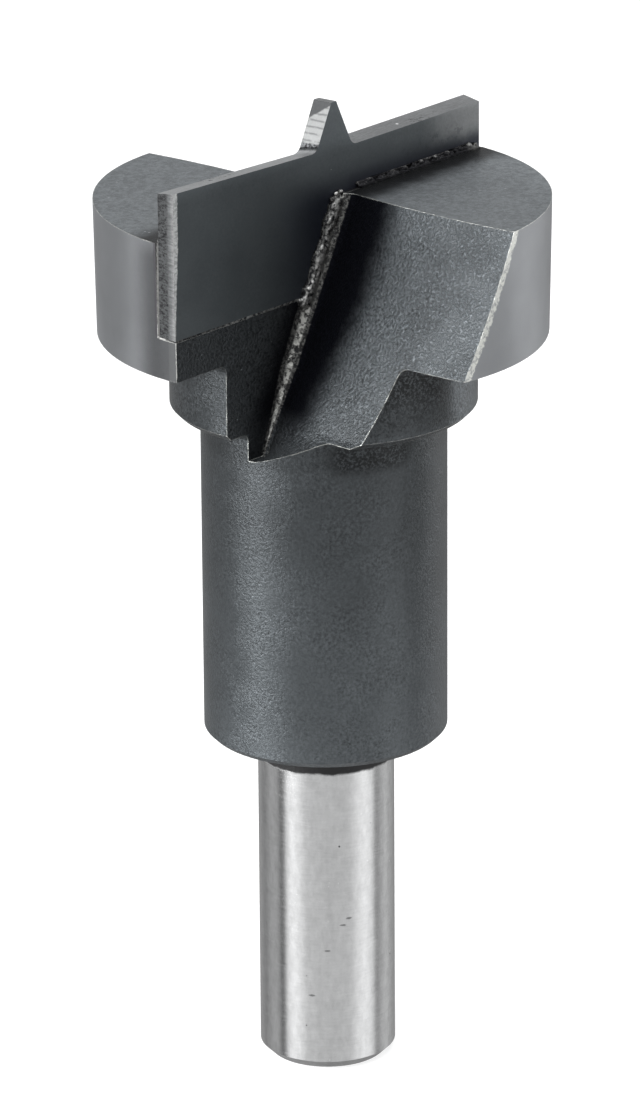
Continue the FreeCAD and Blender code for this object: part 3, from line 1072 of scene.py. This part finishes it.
    def lay_flanks(self, coat: Layers) -> None:
        """Lays the point's bright flanks with their grinding lines, bare back corner and dark foot.

        Args:
            coat: The finish in the making.
        """
        graph, sizes = coat.graph, coat.effects.sizes
        foot = sizes.wing_top + sizes.edge_height
        x, y, z = graph.parts(coat.spot)
        on_flank = graph.times(
            graph.below(graph.size(graph.minus(x, sizes.point_shift)), 2.6),
            graph.above(z, foot - 0.3),
            graph.band(graph.size(coat.facing[0]), 0.55, 0.8))
        wavy = coat.ragged(z, 0.7, 0.1)
        rise = graph.math("FRACT", graph.times(wavy, self.lines_per_mm))
        broken = coat.pattern((1.8,), 0.28, 0.5)
        line = graph.times(graph.window(rise, 0.3, 0.55, 0.1), broken)
        colour = graph.mix(graph.times(line, 0.6), self.flank, self.bare)
        side = graph.math("SIGN", coat.facing[0])
        behind = graph.times(y, graph.times(side, -1.0))
        limit = graph.scale_add(behind, 0.65, coat.ragged(z, 1.5, 0.12))
        bare_corner = graph.band(limit, sizes.point_top - 0.8, sizes.point_top - 0.65)
        colour = graph.mix(bare_corner, colour, self.bare)
        low = coat.ragged(z, 2.5, 0.15)
        rough = coat.pattern((5.0, 2.0, 0.7), 0.4, 0.62)
        foot_colour = graph.mix(rough, self.black, self.dark)
        colour = graph.mix(graph.band(low, foot + 0.65, foot + 0.45), colour, foot_colour)
        coat.lay(on_flank, colour, 0.3, 0.9)


@dataclass(frozen=True)
class FillerFinish(Finish):
    """Rough filler metal: a black base that is painted shade, and bright filler metal on its lumps."""

    name: str = "brazing_filler_finish"
    # The black base is painted shade along the bead and in the seams.
    under: tuple = (0.008, 0.008, 0.01, 1.0)
    rough: float = 0.5
    metal: float = 0.7
    # Linear colours of the zones.
    bright: tuple = (0.42, 0.42, 0.41, 1.0)
    crumb: tuple = (0.11, 0.11, 0.107, 1.0)
    # Where the dull outer end of the bead starts along the plate, in millimetres.
    outer_end: float = 14.5

    def lay_zones(self, coat: Layers) -> None:
        """Lays the filler's bright lumps and crumbs over its black base of painted shade.

        Args:
            coat: The finish in the making.
        """
        graph, sizes = coat.graph, coat.effects.sizes
        height = coat.ragged(coat.height, 1.6, 0.4)
        raised = graph.band(height, sizes.wing_top + 0.3, sizes.wing_top + 0.62)
        bare = coat.pattern((0.9, 2.0), 0.42, 0.6)
        coat.lay(graph.times(raised, bare), self.bright, 0.38, 0.9)
        crumbs = coat.pattern((4.6, 2.0, 0.7), 0.42, 0.62)
        low = graph.math("MAXIMUM", graph.band(coat.height, sizes.wing_top - 0.1, sizes.wing_top - 0.4),
                         graph.band(coat.along, 1.6, 1.2))
        coat.lay(low, graph.mix(crumbs, self.under, self.crumb), 0.5, 0.8)
        coat.lay(graph.band(coat.along, self.outer_end, self.outer_end + 1.0), self.crumb, 0.5, 0.8)
        lumps = coat.pattern((2.6, 2.0, 0.6), 0.4, 0.56)
        across = coat.ragged(coat.across, 2.6, 0.08)
        crest = graph.band(across, sizes.plate_half + 0.22, sizes.plate_half + 0.38)
        at_end = graph.band(coat.along, 1.3, 0.9)
        at_end = graph.times(at_end, graph.band(coat.height, sizes.wing_top - 0.5, sizes.wing_top - 0.2))
        coat.lay(graph.times(low, lumps, graph.math("MAXIMUM", crest, at_end)), self.bright, 0.4, 1.0)
        in_bed = graph.band(coat.height, sizes.plate_foot + 0.02, sizes.plate_foot - 0.02)
        coat.lay(graph.times(in_bed, graph.band(coat.along, -13.0, -8.5), lumps), self.bright, 0.4, 1.0)
        coat.grain(1.6, 5.0, 1.0)


@dataclass
class ToolBody:
    """The steel body as packed: its shape is right and it takes the steel's finish."""

    node: str = "tool_body"
    finish: SteelFinish = field(default_factory=SteelFinish)

    def build(self, effects: Effects) -> None:
        """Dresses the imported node."""
        dress(self.node, self.finish.make(effects))


@dataclass
class CuttingPlate:
    """The hard-metal plate as packed, with its own finish."""

    node: str = "cutting_plate"
    finish: HardMetalFinish = field(default_factory=HardMetalFinish)

    def build(self, effects: Effects) -> None:
        """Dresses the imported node."""
        dress(self.node, self.finish.make(effects))


@dataclass
class BrazeSeam:
    """Filler metal: thin sheets at the plate's seat and lumpy beads along the wings' tops."""

    node: str = "braze_seam"
    slot: str = "brazing_filler"
    # Sheets behind the plate's halves, the bed under it, and the beads with the bars inside them.
    sheet: float = 0.3
    bed: float = 0.15
    reach: float = 16.0
    sheet_reach: float = 16.24
    bead_height: float = 0.3
    bead_width: float = 0.45
    bar_sink: float = 0.2
    bar_rise: float = 0.12
    # Small drops on a bead: least and greatest radius, and steps from one to the next.
    drop_radii: tuple = (0.1, 0.24)
    drop_steps: tuple = (0.12, 0.5)
    voxel: float = 0.06
    lump_spacing: float = 0.35
    lump_size: float = 0.12
    smooth_angle: float = 35.0
    seed: int = 7
    # Large drops on a bead: distance along the plate and radius.
    big_drops: tuple = ((15.1, 0.3), (14.1, 0.26), (12.6, 0.22), (11.3, 0.24), (8.9, 0.2))
    # Drops where the flute's root meets the wing's top: distance along the plate, height and radius.
    root_drops: tuple = ((0.45, 66.1, 0.17), (0.02, 65.8, 0.2), (0.95, 66.15, 0.15))
    # The rope of filler along the flute's root.
    rope_radius: float = 0.48
    rope_inset: float = 0.66
    rope_lap: float = 0.3
    rope_wander: float = 0.12
    rope_steps: tuple = (0.25, 0.45)
    finish: FillerFinish = field(default_factory=FillerFinish)

    def build(self, effects: Effects) -> None:
        """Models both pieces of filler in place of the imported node's plain bars.

        Args:
            effects: The shared groups and sizes.
        """
        sizes = effects.sizes
        material = self.finish.make(effects)
        sheets = [self.make_box((-self.sheet_reach, -sizes.plate_half, sizes.plate_foot - self.bed),
                                (self.sheet_reach, sizes.plate_half, sizes.plate_foot))]
        beads = []
        for half in Half:
            sheets.append(self.make_sheet(sizes, half))
            beads.append(self.make_bead(sizes, half))
        for name, pieces in (("seam_sheets", sheets), ("seam_beads", beads)):
            self.hand_in(self.join(name, pieces), material)

    def make_box(self, low: tuple, high: tuple) -> bpy.types.Object:
        """Makes a box between two corners in millimetres.

        Args:
            low: The corner with the lowest values.
            high: The opposite corner.

        Returns:
            The new object.
        """
        bpy.ops.object.select_all(action="DESELECT")
        middle = [(a + b) / 2 * MM for a, b in zip(low, high)]
        bpy.ops.mesh.primitive_cube_add(size=1, location=middle)
        box = bpy.context.object
        box.scale = [(b - a) * MM for a, b in zip(low, high)]
        bpy.ops.object.transform_apply(location=True, rotation=True, scale=True)
        return box

    def cut(self, piece: bpy.types.Object, spot: tuple, normal: tuple) -> None:
        """Cuts away what lies beyond a plane and closes the cut.

        Args:
            piece: The object to cut.
            spot: A point of the plane in millimetres.
            normal: The plane's normal, which points to what goes.
        """
        bpy.context.view_layer.objects.active = piece
        bpy.ops.object.mode_set(mode="EDIT")
        bpy.ops.mesh.select_all(action="SELECT")
        bpy.ops.mesh.bisect(plane_co=[v * MM for v in spot], plane_no=normal, use_fill=True, clear_outer=True)
        bpy.ops.object.mode_set(mode="OBJECT")

    def make_sheet(self, sizes: BitSizes, half: Half) -> bpy.types.Object:
        """Makes the sheet between a wing and the plate, cut off along the flute's inclined wall.

        Args:
            sizes: The part's sizes.
            half: Which wing it lies against.

        Returns:
            The new object.
        """
        side, inner = half.value, sizes.corner(half) - sizes.root_top / 4
        low = (-self.reach / 2, -sizes.plate_half - self.sheet, sizes.plate_foot - self.bed)
        high = (self.sheet_reach, -sizes.plate_half, sizes.wing_top)
        box = self.make_box(low, high)
        self.cut(box, (inner, 0.0, sizes.wing_top), (-1.0, 0.0, sizes.flute_slope))
        if side < 0:
            box.data.transform(Matrix.Rotation(math.pi, 4, "Z"))
        return box

    def make_bead(self, sizes: BitSizes, half: Half) -> bpy.types.Object:
        """Makes the lumpy bead along a wing's top and the drops at its inner end.

        Args:
            sizes: The part's sizes.
            half: Which wing it lies on.

        Returns:
            The new object.
        """
        chance = random.Random(self.seed + half.value)
        start, top, face = sizes.corner(half) + sizes.root_top, sizes.wing_top, -sizes.plate_half
        low = (start, face - self.bead_width, top - self.bar_sink)
        high = (self.reach, face + self.bar_sink, top + self.bar_rise)
        pieces = [self.make_box(low, high)]
        spots = [(along, top + self.bead_height * 0.9, radius) for along, radius in self.big_drops]
        along = start
        while along < self.reach:
            radius = chance.uniform(*self.drop_radii)
            spots.append((along, top + chance.uniform(0.05, self.bead_height), radius))
            along += chance.uniform(*self.drop_steps)
        for along, height, radius in spots:
            stretch = (chance.uniform(0.9, 1.5), 1.0, chance.uniform(0.8, 1.1))
            out = face - radius * chance.uniform(0.1, 0.6)
            pieces.append(self.make_drop((along, out, height), radius, stretch))
        strip = self.join("strip", pieces)
        self.melt(strip)
        self.cut(strip, (0.0, 0.0, top), (0.0, 0.0, -1.0))
        bead = self.join("bead", [strip, self.make_rope(sizes, half, chance)])
        self.cut(bead, (0.0, face, 0.0), (0.0, 1.0, 0.0))
        if half is Half.BACK:
            bead.data.transform(Matrix.Rotation(math.pi, 4, "Z"))
        return bead

    def make_rope(self, sizes: BitSizes, half: Half, chance: random.Random) -> bpy.types.Object:
        """Makes the rope of filler in the corner of the plate's face and the flute's inclined wall.

        Args:
            sizes: The part's sizes.
            half: Which flute it lies in.
            chance: The source of its unevenness.

        Returns:
            The new object.
        """
        shift, face = sizes.corner(half) - sizes.front_corner, -sizes.plate_half
        drops = [self.make_drop((along + shift, face - 0.15, height), radius, (1.2, 1.0, 1.0))
                 for along, height, radius in self.root_drops]
        height = sizes.plate_foot - self.rope_lap
        while height < sizes.wing_top - 0.3:
            line = sizes.corner(half) + (height - sizes.wing_top) * sizes.flute_slope
            along = line - self.rope_inset + chance.uniform(-self.rope_wander, self.rope_wander)
            radius = self.rope_radius * chance.uniform(0.85, 1.15)
            drops.append(self.make_drop((along, face, height), radius, (1.45, 1.0, 1.2)))
            height += chance.uniform(*self.rope_steps)
        rope = self.join("rope", drops)
        self.melt(rope)
        return rope

    def make_drop(self, spot: tuple, radius: float, stretch: tuple) -> bpy.types.Object:
        """Makes one stretched drop of filler, in millimetres.

        Args:
            spot: The drop's middle.
            radius: Its radius before the stretch.
            stretch: One factor for each axis.

        Returns:
            The new object.
        """
        bpy.ops.object.select_all(action="DESELECT")
        place = [value * MM for value in spot]
        bpy.ops.mesh.primitive_ico_sphere_add(subdivisions=2, radius=radius * MM, location=place)
        drop = bpy.context.object
        drop.scale = stretch
        bpy.ops.object.transform_apply(location=True, rotation=True, scale=True)
        return drop

    def melt(self, piece: bpy.types.Object) -> None:
        """Melts joined drops into one closed, uneven mesh.

        Args:
            piece: The joined drops.
        """
        bpy.context.view_layer.objects.active = piece
        remesh = piece.modifiers.new("melt", "REMESH")
        remesh.mode, remesh.voxel_size = "VOXEL", self.voxel * MM
        bpy.ops.object.modifier_apply(modifier=remesh.name)
        lumps = bpy.data.textures.new("filler_lumps", "CLOUDS")
        lumps.noise_scale = self.lump_spacing * MM
        uneven = piece.modifiers.new("uneven", "DISPLACE")
        uneven.texture, uneven.strength = lumps, self.lump_size * MM
        bpy.ops.object.modifier_apply(modifier=uneven.name)

    def join(self, name: str, pieces: list[bpy.types.Object]) -> bpy.types.Object:
        """Joins objects into one.

        Args:
            name: The joined object's name.
            pieces: The objects.

        Returns:
            The joined object.
        """
        bpy.ops.object.select_all(action="DESELECT")
        for piece in pieces:
            piece.select_set(True)
        bpy.context.view_layer.objects.active = pieces[0]
        if len(pieces) > 1:
            bpy.ops.object.join()
        pieces[0].name = name
        return pieces[0]

    def hand_in(self, piece: bpy.types.Object, material: bpy.types.Material) -> None:
        """Gives a finished piece its material and its place in the frame.

        Args:
            piece: The finished object.
            material: The filler's material.
        """
        piece.data.materials.clear()
        piece.data.materials.append(material)
        bpy.ops.object.select_all(action="DESELECT")
        piece.select_set(True)
        bpy.context.view_layer.objects.active = piece
        bpy.ops.object.shade_smooth_by_angle(angle=math.radians(self.smooth_angle))
        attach(piece, "root")
        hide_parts(self.node)
        log.info("%s made with %d faces", piece.name, len(piece.data.polygons))


@dataclass
class Studio:
    """Floor, surroundings, lights and camera, set as the photograph shows the bit."""

    # Camera, fitted to the photograph's outlines: degrees, millimetres and pixels.
    camera_azimuth: float = -48.28979
    camera_elevation: float = 20.06454
    camera_roll: float = -0.4009
    camera_distance: float = 483.2405
    focal_pixels: float = 6665.64
    target_side: float = -0.3457
    target_height: float = 38.5658
    sensor_mm: float = 36.0
    floor_half: float = 4.0
    # Surroundings as stops: degrees round from the camera, and brightness.
    surround: tuple = (
        (-180, 0.3), (-155, 0.35), (-130, 0.25), (-108, 0.42), (-92, 0.4), (-85, 0.08), (-79, 0.12),
        (-71, 0.95), (-60, 1.2), (-48, 1.0), (-36, 0.68), (0, 0.6), (38, 0.62), (50, 0.85), (66, 1.12),
        (82, 0.95), (92, 0.24), (104, 0.45), (118, 0.62), (132, 0.45), (160, 0.29), (180, 0.26))

    # Lamps: name, degrees round from the camera, elevation, distance, size and power.
    softboxes: tuple = (
        ("top_softbox", 0.0, 80.0, 0.7, (0.6, 0.6), 4.6),
        ("left_softbox", -68.0, 10.0, 0.6, (0.4, 0.5), 4.6),
        ("right_softbox", 120.0, 8.0, 0.6, (0.35, 0.5), 0.9))
    # Height in metres that the lamps aim at.
    lamp_aim: float = 0.05
    floor_grey: tuple = (0.5, 0.5, 0.5, 1.0)
    floor_glow: float = 0.68
    ceiling: tuple = (0.62, 0.63, 0.64, 1.0)
    fill: tuple = (0.4, 0.405, 0.41, 1.0)
    white: tuple = (1.0, 1.0, 1.0, 1.0)

    def direction(self, azimuth: float, elevation: float) -> Vector:
        """Gives the direction from the object to a place round it.

        Args:
            azimuth: Degrees round the tool, 0 in front of the plate.
            elevation: Degrees above the floor.

        Returns:
            A unit vector.
        """
        turn, rise = math.radians(azimuth), math.radians(elevation)
        level = math.cos(rise)
        return Vector((math.sin(turn) * level, -math.cos(turn) * level, math.sin(rise)))

    def add_camera(self) -> None:
        """Sets the camera at the photograph's place, aim and roll."""
        back = self.direction(self.camera_azimuth, self.camera_elevation)
        turn, roll = math.radians(self.camera_azimuth), math.radians(self.camera_roll)
        right = Vector((math.cos(turn), math.sin(turn), 0.0))
        up = back.cross(right)
        tilted_right = right * math.cos(roll) + up * math.sin(roll)
        tilted_up = up * math.cos(roll) - right * math.sin(roll)
        target = (right * self.target_side + Vector((0, 0, self.target_height))) * MM
        data = bpy.data.cameras.new("camera")
        data.sensor_fit = "VERTICAL"
        data.sensor_height = self.sensor_mm
        data.lens = self.focal_pixels * self.sensor_mm / IMAGE_SIZE[1]
        data.clip_start = 0.01
        camera = bpy.data.objects.new("camera", data)
        bpy.context.scene.collection.objects.link(camera)
        turned = Matrix((tilted_right, tilted_up, back)).transposed().to_4x4()
        camera.matrix_world = Matrix.Translation(target + back * self.camera_distance * MM) @ turned
        bpy.context.scene.camera = camera

    def add_softbox(self, name: str, azimuth: float, elevation: float, distance: float,
                    size: tuple, power: float) -> None:
        """Adds a soft area lamp that faces the head.

        Args:
            name: The lamp's name.
            azimuth: Degrees round the tool from the camera.
            elevation: Degrees above the floor.
            distance: Metres from the head.
            size: Width and height in metres.
            power: Watts.
        """
        data = bpy.data.lights.new(name, "AREA")
        data.shape = "RECTANGLE"
        data.size, data.size_y = size
        data.energy = power
        lamp = bpy.data.objects.new(name, data)
        toward = self.direction(self.camera_azimuth + azimuth, elevation)
        lamp.matrix_world = (Matrix.Translation(toward * distance + Vector((0, 0, self.lamp_aim)))
                             @ toward.to_track_quat("Z", "Y").to_matrix().to_4x4())
        lamp.visible_camera = False
        bpy.context.scene.collection.objects.link(lamp)

    def make_floor(self) -> None:
        """Adds the pale floor, which shows white to the camera but for the soft shadow."""
        bpy.ops.object.select_all(action="DESELECT")
        bpy.ops.mesh.primitive_plane_add(size=2 * self.floor_half, location=(0, 0, 0))
        floor = bpy.context.object
        floor.name = "floor"
        floor.visible_glossy = False
        material = bpy.data.materials.new("floor_white")
        material.use_nodes = True
        graph = Graph(material.node_tree)
        nodes = material.node_tree.nodes
        shader = nodes["Principled BSDF"]
        shader.inputs["Base Color"].default_value = self.floor_grey
        shader.inputs["Roughness"].default_value = 1.0
        shader.inputs["Specular IOR Level"].default_value = 0.0
        glow = graph.add("ShaderNodeEmission")
        path = graph.add("ShaderNodeLightPath")
        graph.feed(glow.inputs["Strength"], graph.times(path.outputs["Is Camera Ray"], self.floor_glow))
        both = graph.add("ShaderNodeAddShader")
        graph.feed(both.inputs[0], shader.outputs[0])
        graph.feed(both.inputs[1], glow.outputs[0])
        graph.feed(nodes["Material Output"].inputs["Surface"], both.outputs[0])
        floor.data.materials.append(material)

    def make_world(self) -> None:
        """Sets the surroundings: white to the camera, and pale and dark panels for reflections."""
        world = bpy.data.worlds.new("studio")
        bpy.context.scene.world = world
        world.use_nodes = True
        graph = Graph(world.node_tree)
        background = world.node_tree.nodes["Background"]
        x, y, z = graph.parts(graph.add("ShaderNodeTexCoord").outputs["Generated"])
        azimuth = graph.math("ARCTAN2", x, graph.times(y, -1.0))
        turned = graph.minus(azimuth, math.radians(self.camera_azimuth))
        wrapped = graph.math("WRAP", turned, math.pi, -math.pi)
        ramp = graph.add("ShaderNodeValToRGB")
        while len(ramp.color_ramp.elements) < len(self.surround):
            ramp.color_ramp.elements.new(1.0)
        for element, (angle, level) in zip(ramp.color_ramp.elements, self.surround):
            element.position = (angle + 180.0) / 360.0
            element.color = (level, level, level, 1.0)
        graph.feed(ramp.inputs[0], graph.scale_add(wrapped, 0.5 / math.pi, 0.5))
        sky = graph.band(z, 0.05, 0.6)
        glossy = graph.mix(sky, ramp.outputs[0], self.ceiling)
        path = graph.add("ShaderNodeLightPath")
        colour = graph.mix(path.outputs["Is Glossy Ray"], self.fill, glossy)
        colour = graph.mix(path.outputs["Is Camera Ray"], colour, self.white)
        graph.feed(background.inputs["Color"], colour)

    def build(self) -> None:
        """Builds the floor, the surroundings, the lamps and the camera."""
        bpy.context.scene.view_settings.view_transform = "Standard"
        self.make_floor()
        self.make_world()
        for softbox in self.softboxes:
            self.add_softbox(*softbox)
        self.add_camera()
        log.info("studio built")


def dress(node: str, material: bpy.types.Material) -> None:
    """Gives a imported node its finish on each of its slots.

    Args:
        node: The node's name.
        material: Its new material.
    """
    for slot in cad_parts[node].material_slots:
        slot.material = material
    log.info("%s dressed with %s", node, material.name)


def main() -> None:
    """Builds the studio, the finishes and the new pieces."""
    logging.basicConfig(level=logging.INFO)
    effects = Effects(BitSizes.from_frame())
    Studio().build()
    for piece in (ToolBody(), CuttingPlate(), BrazeSeam()):
        piece.build(effects)


if __name__ == "__main__":
    main()
